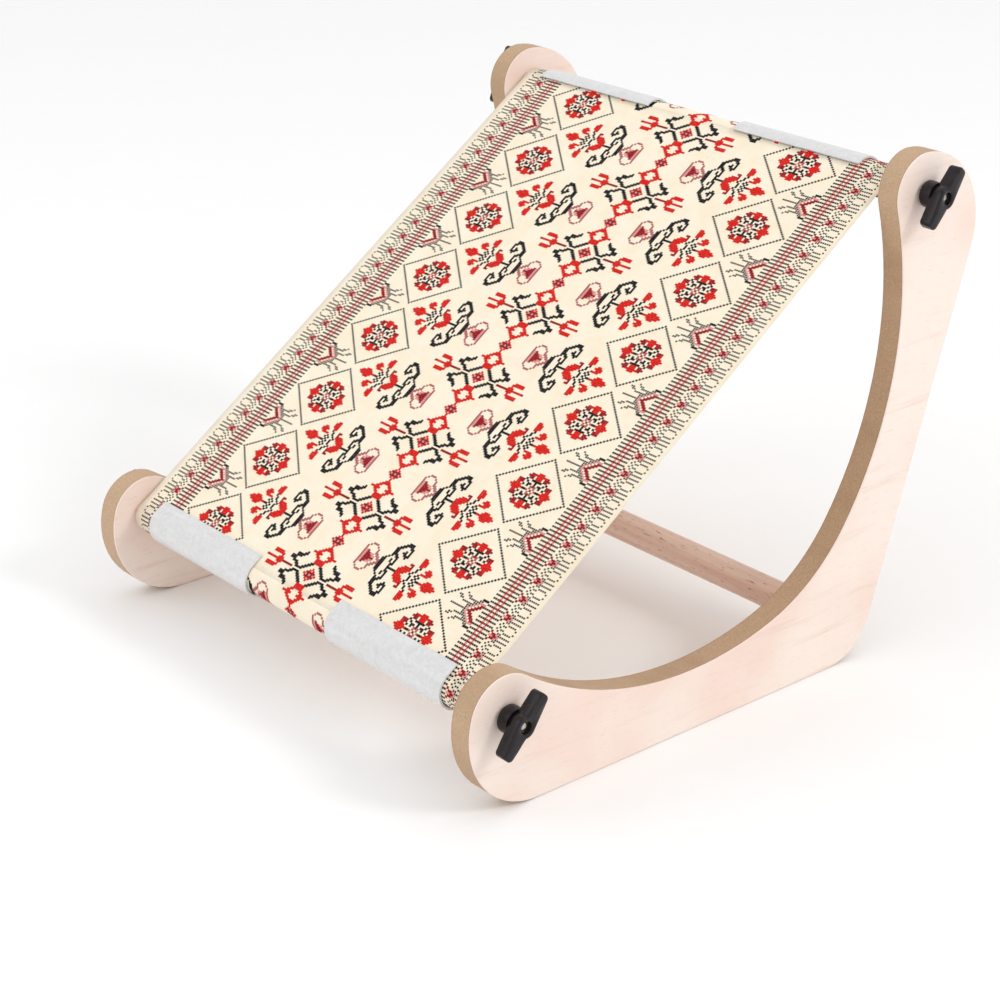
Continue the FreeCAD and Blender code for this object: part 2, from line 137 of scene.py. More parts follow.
class Tree:
    """A node tree under construction."""

    def __init__(self, tree):
        self.tree = tree

    def node(self, kind, settings=None, inputs=None, output=0):
        """Adds a node, sets its settings, then its sockets, and returns one output."""
        made = self.tree.nodes.new(kind)
        for name, value in (settings or {}).items():
            setattr(made, name, value)
        for socket, value in (inputs or {}).items():
            if isinstance(value, Socket):
                self.tree.links.new(value.link, made.inputs[socket])
            else:
                made.inputs[socket].default_value = value
        return Socket(self, made.outputs[output])

    def mix(self, mask, first, second):
        """Blends two colours by a mask."""
        settings = {"data_type": "RGBA"}
        return self.node("ShaderNodeMix", settings, {0: mask, 6: first, 7: second}, output=2)

    def stretch(self, vector, *scale):
        """Scales a place, so that a noise becomes long in the directions scaled least."""
        settings = {"operation": "MULTIPLY"}
        return self.node("ShaderNodeVectorMath", settings, {0: vector, 1: scale})

    def noise(self, vector, scale, detail=3.0, rough=0.5):
        inputs = {"Vector": vector, "Scale": scale, "Detail": detail, "Roughness": rough}
        return self.node("ShaderNodeTexNoise", None, inputs)


class Finish(Tree):
    """A material with a Principled surface. Numbers that never change go in here."""

    def __init__(self, name, **fixed):
        self.material = bpy.data.materials.new(name)
        self.material.use_nodes = True
        super().__init__(self.material.node_tree)
        self.surface = self.tree.nodes["Principled BSDF"]
        for socket, value in fixed.items():
            self.surface.inputs[socket.replace("_", " ")].default_value = value

    def feed(self, socket, value):
        self.tree.links.new(value.link, self.surface.inputs[socket])

    def place(self):
        """Place in the object's own frame, in metres."""
        return self.node("ShaderNodeTexCoord", output="Object")

    def bump(self, height, distance, strength=1.0):
        inputs = {"Height": height, "Distance": distance, "Strength": strength}
        self.feed("Normal", self.node("ShaderNodeBump", None, inputs))


def colour(red, green, blue):
    """Linear colour from the 0 to 255 values a paint chart gives."""

    def linear(value):
        value /= 255
        return value / 12.92 if value <= 0.04045 else ((value + 0.055) / 1.055) ** 2.4

    return (linear(red), linear(green), linear(blue), 1.0)


def dress(finish, *names):
    """Gives CAD nodes a finish."""
    for name in names:
        mesh = nodes[name].data
        mesh.materials.clear()
        mesh.materials.append(finish.material)


# %% [markdown]
# ## Boards
# Each side board is sawn from 18 mm fibreboard with a thin beech veneer on both faces. The
# veneer is pale and pinkish with faint streaks, and the sanded rim shows the tan fibre. The
# thickness runs along X, so the distance from the board's middle plane tells face from rim.

# %% Veneer and sanded rim
board_low, board_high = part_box("side_board_right")
BOARD_MIDDLE = (board_low.x + board_high.x) / 2
BOARD_HALF = (board_high.x - board_low.x) / 2

board = Finish("veneered_board", Roughness=0.5, Coat_Weight=0.08, Coat_Roughness=0.35)
at = board.place()
x = board.node("ShaderNodeSeparateXYZ", None, {0: at})
depth = abs(abs(x) - BOARD_MIDDLE)
is_face = depth.ramp(BOARD_HALF - 0.75 * MM, BOARD_HALF - 0.55 * MM)
streaks = board.noise(board.stretch(at, 60, 14, 160), 1.0, 4.0, 0.55)
pores = board.noise(board.stretch(at, 300, 90, 1500), 1.0, 2.0)
blush = board.noise(at, 9.0, 2.0)
pale, pink, vein = colour(241, 225, 214), colour(237, 212, 199), colour(224, 193, 176)
veneer = board.mix(blush.ramp(0.4, 0.66), pale, pink)
veneer = board.mix(streaks.ramp(0.52, 0.8) * 0.5, veneer, vein)
veneer = board.mix(pores.ramp(0.62, 0.72) * 0.35, veneer, colour(205, 166, 142))
fibre = board.noise(at, 900.0, 3.0, 0.7)
scorch = board.noise(board.stretch(at, 8, 26, 26), 1.0, 3.0)
rim = board.mix(fibre.ramp(0.3, 0.7), colour(180, 148, 116), colour(203, 171, 140))
rim = board.mix(scorch.ramp(0.45, 0.75) * 0.5, rim, colour(166, 134, 102))
glue_line = depth.ramp(BOARD_HALF - 1.5 * MM, BOARD_HALF - 0.9 * MM) * (1 - is_face)
rim = board.mix(glue_line * 0.55, rim, colour(150, 112, 84))
board.feed("Base Color", board.mix(is_face, rim, veneer))
board.feed("Roughness", 0.72 - is_face * 0.27 + (fibre - 0.5) * 0.1)
board.bump(pores * is_face + fibre * (1 - is_face) * 2.0, 0.05 * MM, 0.6)
dress(board, "side_board_left", "side_board_right")
print("boards dressed")

# %% [markdown]
# ## Turned beech
# The stretcher, the rollers and the dowel pins are turned beech: darker and pinker than the
# veneer, with grain along X and the short dark flecks that beech shows.

# %% Beech dowel
beech = Finish("beech_dowel", Roughness=0.48, Coat_Weight=0.06, Coat_Roughness=0.4)
at = beech.place()
rings = beech.noise(beech.stretch(at, 3, 130, 130), 1.0, 4.0, 0.6)
flecks = beech.noise(beech.stretch(at, 110, 900, 900), 1.0, 2.0)
bands = beech.noise(beech.stretch(at, 6, 60, 60), 1.0, 2.0)
wood = beech.mix(rings.ramp(0.35, 0.7), colour(238, 212, 198), colour(222, 184, 166))
wood = beech.mix(bands.ramp(0.5, 0.75) * 0.5, wood, colour(244, 224, 210))
wood = beech.mix(flecks.ramp(0.63, 0.7) * 0.7, wood, colour(140, 92, 70))
beech.feed("Base Color", wood)
beech.feed("Roughness", 0.42 + rings * 0.16)
beech.bump(rings + flecks * 0.6, 0.06 * MM, 0.5)
dress(beech, "stretcher", "roller_front", "roller_rear")
dress(beech, "stretcher_pin_left", "stretcher_pin_right")

# %% [markdown]
# ## Metal parts
# The studs and washers are zinc plated steel, slightly mottled. The knobs' inserts are brass.
# A knob's recess shows a glint of both.

# %% Zinc and brass


def metal(name, light, dark, roughness):
    """A plated or turned metal with small changes of tone and gloss."""
    finish = Finish(name, Metallic=1.0)
    spots = finish.noise(finish.place(), 700.0, 3.0)
    finish.feed("Base Color", finish.mix(spots.ramp(0.3, 0.7), dark, light))
    finish.feed("Roughness", spots * 0.2 + roughness)
    finish.bump(spots, 0.02 * MM, 0.4)
    return finish


zinc = metal("zinc_plate", colour(232, 234, 238), colour(196, 198, 204), 0.34)
brass = metal("turned_brass", colour(226, 190, 120), colour(176, 138, 72), 0.2)
ENDS = [(roller, side) for roller in AXIS for side in ("left", "right")]
for roller, side in ENDS:
    dress(zinc, f"stud_{roller}_{side}", f"washer_{roller}_{side}")
    dress(brass, f"insert_{roller}_{side}")

# %% [markdown]
# ## Meshes in code
# The moulded pieces are lofts: a list of rings with the same number of points, joined by
# quads. The helper below makes the mesh object and gives it a finish. Normals are recalculated
# on the closed shell, so that they all point outwards.

# %% Mesh helpers


def new_object(name, mesh, finish):
    """Puts a mesh in the scene under a name."""
    mesh.materials.clear()
    mesh.materials.append(finish.material)
    made = bpy.data.objects.new(name, mesh)
    bpy.context.scene.collection.objects.link(made)
    return made


def loft(name, rings, finish, closed=True, smooth_angle=35):
    """Joins rings of points with quads. A closed loft joins its last ring to its first."""
    shape = bmesh.new()
    rows = [[shape.verts.new(point) for point in ring] for ring in rings]
    pairs = list(zip(rows, rows[1:] + rows[:1] if closed else rows[1:]))
    for first, second in pairs:
        for index in range(len(first)):
            following = (index + 1) % len(first)
            corners = (first[index], first[following], second[following], second[index])
            shape.faces.new(corners)
    if not closed:
        shape.faces.new(rows[0])
        shape.faces.new(list(reversed(rows[-1])))
    bmesh.ops.recalc_face_normals(shape, faces=shape.faces)
    mesh = bpy.data.meshes.new(name)
    shape.to_mesh(mesh)
    shape.free()
    mesh.shade_smooth()
    made = new_object(name, mesh, finish)
    mesh.set_sharp_from_angle(angle=math.radians(smooth_angle))
    return made


def rounded(piece, width, segments=3, angle=45):
    """A live Bevel that rounds the sharp edges."""
    bevel = piece.modifiers.new("rounded", "BEVEL")
    bevel.width, bevel.segments = width, segments
    bevel.limit_method, bevel.angle_limit = "ANGLE", math.radians(angle)
    bevel.harden_normals = True
    return piece


# %% [markdown]
# ## Wing knobs
# A knob is one black nylon moulding: a round foot, and a hub with two flat wings. Nylon comes
# out of its mould nearly black and faintly cloudy, with a fine skin and a soft gloss.

# %% Black nylon
nylon = Finish("black_nylon", Specular_IOR_Level=0.3)
at = nylon.place()
skin = nylon.noise(at, 2600.0, 2.0)
cloudy = nylon.noise(at, 120.0, 3.0)
nylon.feed("Base Color", nylon.mix(cloudy.ramp(0.3, 0.7), colour(14, 9, 12), colour(26, 18, 24)))
nylon.feed("Roughness", 0.2 + cloudy * 0.2)
nylon.bump(skin, 0.03 * MM, 0.5)

# %% [markdown]
# One edge of each wing is tangent to the hub and the other meets it square, which gives the
# knob its S shape. Half of the outline is worked out from a few sizes in millimetres, and the
# other half is the same turned round. More points are then spread along it. Every ring of the
# loft is this outline pushed onto another shape, point for point.

# %% Wing knob outline
HUB, WING_REACH, WING_HALF, WING_SHIFT, CORNER = 7.8, 23.4, 4.0, 0.9, 2.6
WING_MEET = 42  # degrees round the hub
HUB_STEPS, CORNER_STEPS, OUTLINE_POINTS = 16, 6, 90


def wing_outline():
    """Half of the outline, in millimetres, from one tangent point to the opposite one."""
    low, high = WING_SHIFT - WING_HALF, WING_SHIFT + WING_HALF
    last = (WING_REACH - CORNER, low)
    touch = math.atan2(last[1], last[0]) - math.acos(HUB / math.hypot(*last))
    half = []
    for middle, start in ((low + CORNER, -90), (high - CORNER, 0)):
        for step in range(CORNER_STEPS + 1):
            turn = math.radians(start + 90 * step / CORNER_STEPS)
            half.append((last[0] + CORNER * math.cos(turn), middle + CORNER * math.sin(turn)))
    meet, leave = math.radians(WING_MEET), touch + math.pi
    for step in range(HUB_STEPS + 1):
        turn = meet + (leave - meet) * step / HUB_STEPS
        half.append((HUB * math.cos(turn), HUB * math.sin(turn)))
    return half


def spread(points, count):
    """Points evenly spaced round a closed outline, keeping its corners sharp enough."""
    loop = points + points[:1]
    lengths = [math.dist(a, b) for a, b in zip(loop, loop[1:])]
    result = []
    for (a, b), length in zip(zip(loop, loop[1:]), lengths):
        steps = max(1, round(length * count / sum(lengths)))
        for step in range(steps):
            part = step / steps
            result.append((a[0] + (b[0] - a[0]) * part, a[1] + (b[1] - a[1]) * part))
    return result


half = wing_outline()
OUTLINE = spread(half + [(-y, -z) for y, z in half], OUTLINE_POINTS)
print(f"{len(OUTLINE)} points round a knob")

# %% [markdown]
# The loft climbs from the foot to the hub, steps out to the wings, rounds over their edge and
# goes down the bore. Left knobs are the right ones turned round to face the other way. WINGS
# holds how far each was turned, in degrees, when it was tightened.

# %% Wing knobs
WING_START, KNOB_HEIGHT, RECESS_FLOOR, BORE = 8.5, 17.5, 13.5, 4.2
FOOT, NECK = 9.5, 9.0
WINGS = {
    ("front", "right"): 46.0,
    ("rear", "right"): 48.0,
    ("front", "left"): 50.0,
    ("rear", "left"): 70.0,
}


def circle(radius):
    """The outline pushed onto a circle, point for point."""
    return [(radius * y / math.hypot(y, z), radius * z / math.hypot(y, z)) for y, z in OUTLINE]


def shrunk(by):
    """The outline drawn in towards the bore."""
    factors = [1 - by / math.hypot(y, z) for y, z in OUTLINE]
    return [(y * factor, z * factor) for (y, z), factor in zip(OUTLINE, factors)]


def wing_knob(roller, side):
    """Lofts a knob from its base, up its hub and wings and down its bore."""
    sign = 1 if side == "right" else -1
    low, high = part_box(f"knob_{roller}_{side}")
    base = low.x if sign > 0 else high.x
    turn = math.radians(WINGS[roller, side])

    def ring(height, points):
        placed = []
        for y, z in points:
            y *= sign
            across = y * math.cos(turn) - z * math.sin(turn)
            up = y * math.sin(turn) + z * math.cos(turn)
            where = Vector((base + sign * height * MM, across * MM, up * MM))
            placed.append(where + Vector((0, AXIS[roller].y, AXIS[roller].z)))
        return placed

    rings = [
        ring(0, circle(BORE)),
        ring(0, circle(FOOT - 0.7)),
        ring(0.3, circle(FOOT - 0.2)),
        ring(1.0, circle(FOOT)),
        ring(3.5, circle(FOOT - 0.05)),
        ring(WING_START - 0.6, circle(NECK + 0.1)),
        ring(WING_START, circle(NECK)),
        ring(WING_START, shrunk(0.4)),
        ring(WING_START + 0.5, OUTLINE),
        ring(KNOB_HEIGHT - 0.9, OUTLINE),
        ring(KNOB_HEIGHT - 0.55, shrunk(0.1)),
        ring(KNOB_HEIGHT - 0.2, shrunk(0.4)),
        ring(KNOB_HEIGHT, shrunk(0.9)),
        ring(KNOB_HEIGHT, circle(BORE + 0.35)),
        ring(KNOB_HEIGHT - 0.3, circle(BORE)),
        ring(RECESS_FLOOR, circle(BORE)),
    ]
    knob = loft(f"wing_knob_{roller}_{side}", rings, nylon, smooth_angle=50)
    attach(knob, f"{roller}_{side}_knob")
    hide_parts(f"knob_{roller}_{side}")


for roller, side in ENDS:
    wing_knob(roller, side)
print(f"{len(ENDS)} wing knobs")

# %% [markdown]
# ## Snap clips
# The clips are cut from a white plastic tube with an open side, so that they snap over the
# cloth. One edge runs on into a straight, tapered lip. The plastic is pearly: pale swirls
# change its tone and gloss a little.

# %% Pearly plastic
pearl = Finish("pearly_plastic", Roughness=0.3, Coat_Weight=0.4, Coat_Roughness=0.15)
at = pearl.place()
bend = pearl.noise(at, 45.0, 3.0)
warped = pearl.node(
    "ShaderNodeVectorMath",
    {"operation": "MULTIPLY_ADD"},
    {0: bend.other("Color"), 1: (0.03, 0.03, 0.03), 2: at},
)
swirl = pearl.noise(warped, 240.0, 6.0, 0.68)
crease = pearl.noise(pearl.stretch(at, 30, 260, 260), 1.0, 4.0)
tone = pearl.mix(swirl.ramp(0.3, 0.7), colour(209, 209, 209), colour(222, 222, 222))
tone = pearl.mix(crease.ramp(0.5, 0.8) * 0.4, tone, colour(236, 236, 236))
pearl.feed("Base Color", tone)
pearl.feed("Roughness", 0.22 + swirl * 0.25)
pearl.bump(swirl + crease, 0.08 * MM, 0.4)

# %% [markdown]
# A clip is one section drawn along its roller: a ring a little over half round, then the lip.
# A live Bevel softens the sawn ends, and the lip points the way it does on the frame.

# %% Snap clips
CLIP_INNER, CLIP_OUTER, LIP, LIP_THICK = 12.85, 14.6, 10.3, 1.15
CLIP_SWEEP, CLIP_STEPS, CLIP_RINGS = 205, 44, 12
LIP_ANGLE = {"front": 90 + math.degrees(SLOPE), "rear": -74}


def clip_section():
    """Outline of the clip's section, in millimetres, with its lip's root at angle 0."""
    angles = [math.radians(CLIP_SWEEP * step / CLIP_STEPS) for step in range(CLIP_STEPS + 1)]
    outside = [(CLIP_OUTER * math.cos(a), CLIP_OUTER * math.sin(a)) for a in angles]
    inside = [(CLIP_INNER * math.cos(a), CLIP_INNER * math.sin(a)) for a in reversed(angles)]
    lip = [
        (CLIP_INNER, -LIP * 0.5),
        (CLIP_INNER, -LIP + 0.4),
        (CLIP_INNER + 0.2, -LIP),
        (CLIP_INNER + LIP_THICK * 0.7, -LIP),
        (CLIP_INNER + LIP_THICK, -LIP + 0.5),
        (CLIP_OUTER - 0.28, -LIP * 0.5),
    ]
    return outside + inside + lip


def snap_clip(roller, side):
    """Draws the section along the space that the CAD clip holds."""
    node = f"clip_{roller}_{side}"
    low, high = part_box(node)
    turn = math.radians(LIP_ANGLE[roller])
    section = clip_section()

    def ring(x):
        placed = []
        for y, z in section:
            across = y * math.cos(turn) - z * math.sin(turn)
            up = y * math.sin(turn) + z * math.cos(turn)
            placed.append(Vector((x, AXIS[roller].y + across * MM, AXIS[roller].z + up * MM)))
        return placed

    length = high.x - low.x
    rings = [ring(low.x + length * step / CLIP_RINGS) for step in range(CLIP_RINGS + 1)]
    piece = loft(f"snap_clip_{roller}_{side}", rings, pearl, closed=False)
    rounded(piece, 0.3 * MM, 2)
    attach(piece, f"{roller}_{side}_clip")
    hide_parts(node)


for roller, side in ENDS:
    snap_clip(roller, side)
print(f"{len(ENDS)} snap clips")

# %% [markdown]
# ## The cloth
# The cloth is cream evenweave. It leaves the front roll at the tangent line, runs straight to
# the rear roll and winds on there, so one length coordinate is enough: zero at the front
# tangent line, rising towards the back. One function turns it into a place and a lean, for the
# cloth and for each stitch on it. Each turn lies one layer further in than the last, which
# leaves room for the thread between two layers.

# %% Where the cloth runs
CLOTH_THICK = 0.45 * MM
LAYER = 0.98 * MM
TANGENT = SLOPE + math.pi / 2
ALONG = Vector((0, math.cos(SLOPE), math.sin(SLOPE)))
FACING = Vector((0, -math.sin(SLOPE), math.cos(SLOPE)))
print(f"roll radius {ROLL_RADIUS / MM:.2f} mm")


def cloth_at(x, length, part, lift=0.0):
    """Place on the cloth's outer face, and its lean about X. Part is panel, front or rear."""
    if part == "panel":
        start = AXIS["front"] + FACING * (ROLL_RADIUS + lift)
        return Vector((x, 0, 0)) + Vector((0, start.y, start.z)) + ALONG * length, SLOPE
    wound = -length if part == "front" else length - SPAN
    turn = wound / ROLL_RADIUS
    angle = TANGENT + turn if part == "front" else TANGENT - turn
    radius = ROLL_RADIUS - LAYER * turn / math.tau + lift
    across, up = radius * math.cos(angle), radius * math.sin(angle)
    return Vector((x, AXIS[part].y + across, AXIS[part].z + up)), angle - math.pi / 2


# %% [markdown]
# The cloth is a plain weave of round cream threads, made for counting. The UV map counts
# stitches, so the weave keeps in step with the embroidery on it. Two sines make the threads, a
# third the over and under, and long noises make some threads thicker.

# %% Cream evenweave
COLUMN, ROW = 1.86 * MM, 1.5225 * MM
CHART_X, CHART_LENGTH = 1.5 * MM, 318.8 * MM

weave = Finish("cream_evenweave", Roughness=0.85, Sheen_Weight=0.25, Sheen_Roughness=0.5)
uv = weave.node("ShaderNodeUVMap", {"uv_map": "UVMap"})
u = weave.node("ShaderNodeSeparateXYZ", None, {0: uv})
v = u.other("Y")
TWICE = 2 * math.tau
warp, weft = (u * TWICE).sine(), (v * TWICE).sine()
over = ((u * 2 + v * 2) * math.pi).sine()
threads = abs(warp) * 0.5 + abs(weft) * 0.5
slub = weave.noise(weave.stretch(uv, 0.5, 0.06, 1), 1.0, 3.0)
slub_across = weave.noise(weave.stretch(uv, 0.06, 0.5, 1), 1.0, 3.0)
tint = weave.noise(weave.place(), 60.0, 3.0)
cream = weave.mix(tint.ramp(0.3, 0.75), colour(252, 241, 219), colour(250, 235, 208))
cream = weave.mix((slub + slub_across).ramp(1.05, 1.35) * 0.25, cream, colour(242, 226, 196))
# Painted shade: the holes between the threads are darkened, standing in for the shade that falls
# into them.
cream = weave.mix((1 - threads).ramp(0.55, 0.95) * 0.4, cream, colour(224, 208, 176))
weave.feed("Base Color", cream)
weave.bump(threads + over * 0.25 + slub * 0.5, 0.12 * MM, 0.7)

# %% [markdown]
# The cloth is three sheets: the stretched part belongs to the frame, and each wound end turns
# with its roller. A live Solidify gives them their thickness on the inner side.

# %% Cloth meshes


def cloth_sheet(name, part, first, last, across, rows):
    """One sheet of the cloth between two lengths, with a UV map counted in stitches."""
    shape = bmesh.new()
    layer = shape.loops.layers.uv.new("UVMap")
    grid = []
    for row in range(rows + 1):
        length = first + (last - first) * row / rows
        line = []
        for column in range(across + 1):
            x = CLOTH_LOW + (CLOTH_HIGH - CLOTH_LOW) * column / across
            where = cloth_at(x, length, part)[0]
            stitch = ((x - CHART_X) / COLUMN, (length - CHART_LENGTH) / ROW)
            line.append((shape.verts.new(where), stitch))
        grid.append(line)
    for low, high in zip(grid, grid[1:]):
        for column in range(across):
            corners = (low[column], low[column + 1], high[column + 1], high[column])
            face = shape.faces.new([vertex for vertex, stitch in corners])
            for loop, (vertex, stitch) in zip(face.loops, corners):
                loop[layer].uv = stitch
    mesh = bpy.data.meshes.new(name)
    shape.to_mesh(mesh)
    shape.free()
    mesh.shade_smooth()
    sheet = new_object(name, mesh, weave)
    thick = sheet.modifiers.new("thickness", "SOLIDIFY")
    thick.thickness, thick.offset = CLOTH_THICK, -1
    return sheet


TURNS, ROLL_ROWS = 1.15, 168
WOUND = TURNS * math.tau * ROLL_RADIUS
panel = cloth_sheet("stretched_cloth", "panel", 0, SPAN, 48, 60)
rolls = {
    "front": cloth_sheet("front_cloth_roll", "front", -WOUND, 0, 8, ROLL_ROWS),
    "rear": cloth_sheet("rear_cloth_roll", "rear", SPAN, SPAN + WOUND, 8, ROLL_ROWS),
}
mean_radius = ROLL_RADIUS - LAYER * TURNS / 2 - CLOTH_THICK / 2
ROLL_LENGTH = TURNS * math.tau * mean_radius
print(f"stretched {SPAN / MM:.0f} mm, {ROLL_LENGTH / MM:.0f} mm wound on each roller")

# %% [markdown]
# ## The stitcher's chart
# A cross-stitch pattern is a chart of coloured squares. This one mirrors left to right, and
# mirrors again every twenty rows, so only a strip of it is drawn: each motif is a few strokes
# or spots on the grid, and folding the coordinates copies them everywhere. The shade called
# cream means bare cloth: it rubs out what an earlier stroke left.

# %% Chart helpers
HALF_REPEAT = 20
chart = {}


def fold(column, row):
    """The drawn square that stands for any square of the chart."""
    row = abs(row) % (2 * HALF_REPEAT)
    return abs(column), min(row, 2 * HALF_REPEAT - row)


def spot(shade, *squares):
    """Single stitches."""
    for column, row in squares:
        chart[fold(column, row)] = shade


def stroke(shade, wide, *points):
    """Every square whose middle lies within half the width of a bent line."""
    for start, end in zip(points, points[1:]):
        run = Vector(end) - Vector(start)
        low = [math.floor(min(pair) - wide) for pair in zip(start, end)]
        high = [math.ceil(max(pair) + wide) for pair in zip(start, end)]
        for column in range(low[0], high[0] + 1):
            for row in range(low[1], high[1] + 1):
                away = Vector((column, row)) - Vector(start)
                part = min(max(away.dot(run) / run.length_squared, 0), 1)
                if (away - run * part).length <= wide / 2:
                    spot(shade, (column, row))


def oval(shade, column, row, wide, high):
    """A filled oval, wide and high to each side of its middle."""
    for i in range(math.floor(column - wide), math.ceil(column + wide) + 1):
        for j in range(math.floor(row - high), math.ceil(row + high) + 1):
            if ((i - column) / wide) ** 2 + ((j - row) / high) ** 2 <= 1:
                spot(shade, (i, j))


# %% [markdown]
# The middle column alternates crosses and lozenges. Each cross has four black hooked arms and
# two red forks, and a small lozenge joins one cross to the next.

# %% Middle column
stroke("black", 1.5, (2, 6), (5.6, 1.8), (7, 1), (9, 1), (10, 3), (12, 3), (12.6, 4.5))
stroke("black", 1.5, (12.6, 4.5), (14, 4.5))
stroke("black", 1.5, (12.6, 4.5), (12, 6.3), (10, 6.3), (8, 8), (7.8, 9.2))
stroke("red", 1.6, (0.4, 6.6), (1, 7), (4.6, 11), (0.6, 14.8))
stroke("red", 1.0, (5, 11), (5.6, 11))
stroke("red", 1.0, (0, 15), (0, 16))
spot("red", (0, 6), (1, 6), (2, 6), (2, 7), (2, 11), (3, 11), (0, 8), (0, 14))
for middle in (0, 20):
    for column in range(4):
        for row in range(4 - column):
            shade = "crimson" if 1 <= column + row <= 2 else "red"
            spot(shade, (column, middle - row), (column, middle + row))
    spot("pink", (0, middle), (2, middle), (0, middle - 2), (0, middle + 2))
    spot("crimson", (1, middle - 1), (1, middle + 1), (2, middle - 1), (2, middle + 1))
stroke("crimson", 1.0, (11, 0), (25, 0))
oval("red", 18, 0, 1.9, 2.2)
stroke("red", 1.5, (17.5, 1.4), (19, 3.5), (23, 3.5))
stroke("red", 1.0, (19, 0), (24, 0))
print(f"{len(chart)} squares after the middle column")

# %% [markdown]
# Beside the middle column stand a rose fan and a black scroll with curled hooks.

# %% Fans and scrolls
stroke("rose", 1.3, (23, 20), (20, 16), (20, 15), (18, 13), (17, 13))
stroke("rose", 1.0, (16, 13), (14, 15), (14, 20))
stroke("crimson", 1.0, (16, 20), (20, 20))
stroke("crimson", 1.0, (16, 18), (18, 19))
stroke("crimson", 1.0, (16, 17), (16, 20))
stroke("pink", 1.0, (15, 17), (15, 20))
stroke("pink", 1.0, (18, 18), (20, 19))
stroke("black", 1.5, (24.5, 17), (24.5, 20))
stroke("black", 1.3, (24.6, 16.6), (27.6, 13.2))
stroke("black", 1.5, (27.5, 13), (27.5, 10.5))
stroke("black", 1.45, (27.8, 10), (30.8, 6.4), (32.6, 6.4), (34, 8.4), (34, 11), (33, 12.5))
stroke("black", 1.3, (33, 12.5), (31.4, 11.4), (31.6, 10.4))
stroke("black", 1.2, (28.2, 13), (30.3, 14.6), (30.4, 17), (29.4, 18.2), (28, 17), (28, 16.2))
stroke("black", 1.0, (29.4, 18.2), (29.4, 20))
stroke("black", 1.0, (29, 20), (33, 20))
print(f"{len(chart)} squares after the scrolls")

# %% [markdown]
# A red flower grows from each scroll. A wedge of bare cloth hollows its head, buds stand round
# it, and black seeds fill the space between them.

# %% Flowers
oval("red", 37, 20, 3.4, 4.4)
for step in range(5):
    for row in range(20 - step, 21):
        spot("cream", (37 + step, row))
spot("red", (39, 16), (39, 17))
stroke("crimson", 1.0, (39, 16), (39, 14))
spot("crimson", (38, 14))
oval("red", 42.9, 11, 1.5, 2.6)
oval("red", 47.6, 14.2, 1.7, 2.1)
spot("red", (46, 16), (45, 16))
oval("red", 51.2, 20, 2.7, 2.6)
stroke("red", 1.0, (46, 20), (55, 20))
stroke("red", 1.0, (53, 19), (54, 19))
spot("black", (41, 20), (41, 19), (40, 18), (41, 17), (42, 16), (42, 15), (43, 14))
spot("black", (43, 20), (43, 18), (44, 17), (45, 18), (45, 20), (44, 19), (46, 20))
print(f"{len(chart)} squares after the flowers")

# %% [markdown]
# The outer lozenges are single dots with a four-fold rosette inside: a pink eye, black seeds
# and petals with curled sides.

# %% Dotted lozenges with rosettes
ROSETTE, LOZENGE = 60, 18
for step in range(LOZENGE + 1):
    spot("moss", (ROSETTE - LOZENGE + step, step), (ROSETTE + LOZENGE - step, step))
for side in (-1, 1):
    middle = ROSETTE + side * 7
    oval("crimson", middle, 3.3, 1.3, 1.3)
    stroke("red", 1.2, (middle, 1.4), (middle + side, 2.4))
    oval("red", middle + side * 0.5, 0, 2.9, 1.6)
    oval("crimson", ROSETTE + side * 3.8, 7, 1.3, 1.3)
    stroke("red", 1.2, (ROSETTE + side * 1.4, 7.4), (ROSETTE + side * 2.6, 8))
    spot("black", (ROSETTE + side * 3, 0), (ROSETTE + side * 4, 0))
    spot("black", (ROSETTE + side * 2, 3), (ROSETTE + side * 3, 3), (ROSETTE + side * 3, 2))
    spot("black", (ROSETTE + side * 4, 4), (ROSETTE + side * 5, 5), (ROSETTE + side * 2, 5))
    spot("black", (ROSETTE + side * 5, 2), (ROSETTE + side * 1, 5))
oval("red", ROSETTE, 7.4, 1.8, 2.4)
stroke("black", 1.0, (ROSETTE, 3), (ROSETTE, 5))
oval("rose", ROSETTE, 0, 2.2, 2.4)
spot("crimson", (ROSETTE, 0), (ROSETTE, 2))
spot("cream", (ROSETTE - 1, 0), (ROSETTE + 1, 0), (ROSETTE, 1))
print(f"{len(chart)} squares after the rosettes")

# %% [markdown]
# Small fans with long hairs stand on the inner side of each border, one to a repeat.

# %% Fans on the border
stroke("crimson", 1.5, (78.4, 16.4), (74.4, 20))
stroke("pink", 1.0, (79, 14.6), (77, 15.2), (73, 19.2), (73, 20))
stroke("hair", 1.0, (79, 13), (77, 13.4), (71.6, 19))
stroke("black", 1.0, (77, 13), (79, 13))
stroke("hair", 1.0, (72, 20), (65, 20))
stroke("hair", 1.0, (76, 14.6), (71, 14.6), (68.6, 12.4))
stroke("hair", 1.0, (73, 17.3), (69, 17.2), (66.2, 14.6))
print(f"{len(chart)} squares after the border's fans")

# %% [markdown]
# Each border is a ladder of black rungs with red and pink between them. A fringe of little
# hearts hangs on its outer side, four to a repeat, and each heart spreads four hairs.

